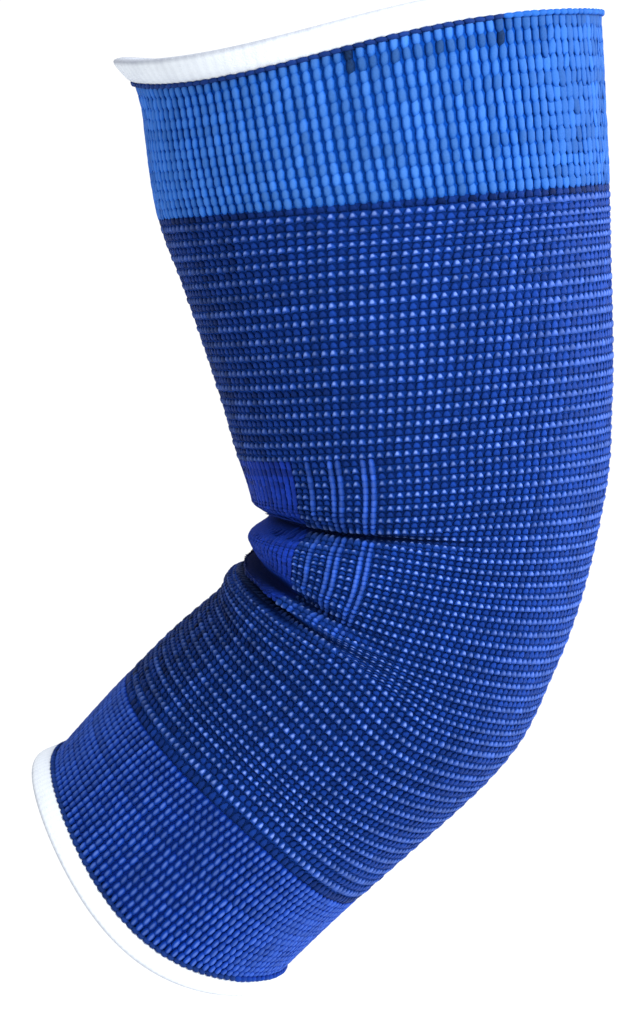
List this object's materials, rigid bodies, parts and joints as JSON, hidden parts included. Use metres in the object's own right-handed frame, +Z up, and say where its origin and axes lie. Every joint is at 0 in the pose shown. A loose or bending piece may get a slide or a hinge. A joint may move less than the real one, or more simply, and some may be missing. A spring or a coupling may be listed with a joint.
{
  "type": "elbow support sleeve",
  "caption": "Knitted elastic tube for the elbow, held in its bent worn form, open at both ends, with plain cuffs, a striped body, a ribbed crook panel and white elastic hems.",
  "frame": {"origin": "centre of the elbow inside the sleeve, where the axes of the upper arm and the forearm meet", "axes": "+Z up along the upper arm, the forearm runs down towards -X, the point of the elbow is towards +X, and Y is across the arm"},
  "size_m": [0.1257, 0.1032, 0.2162],
  "materials": {
    "knit_blue": "elastic knit in bright and navy blue yarn",
    "hem_white": "white elastic welt"
  },
  "bodies": {
    "root": {"knit_sleeve": "knit_blue", "upper_hem": "hem_white", "lower_hem": "hem_white"}
  },
  "joints": []
}
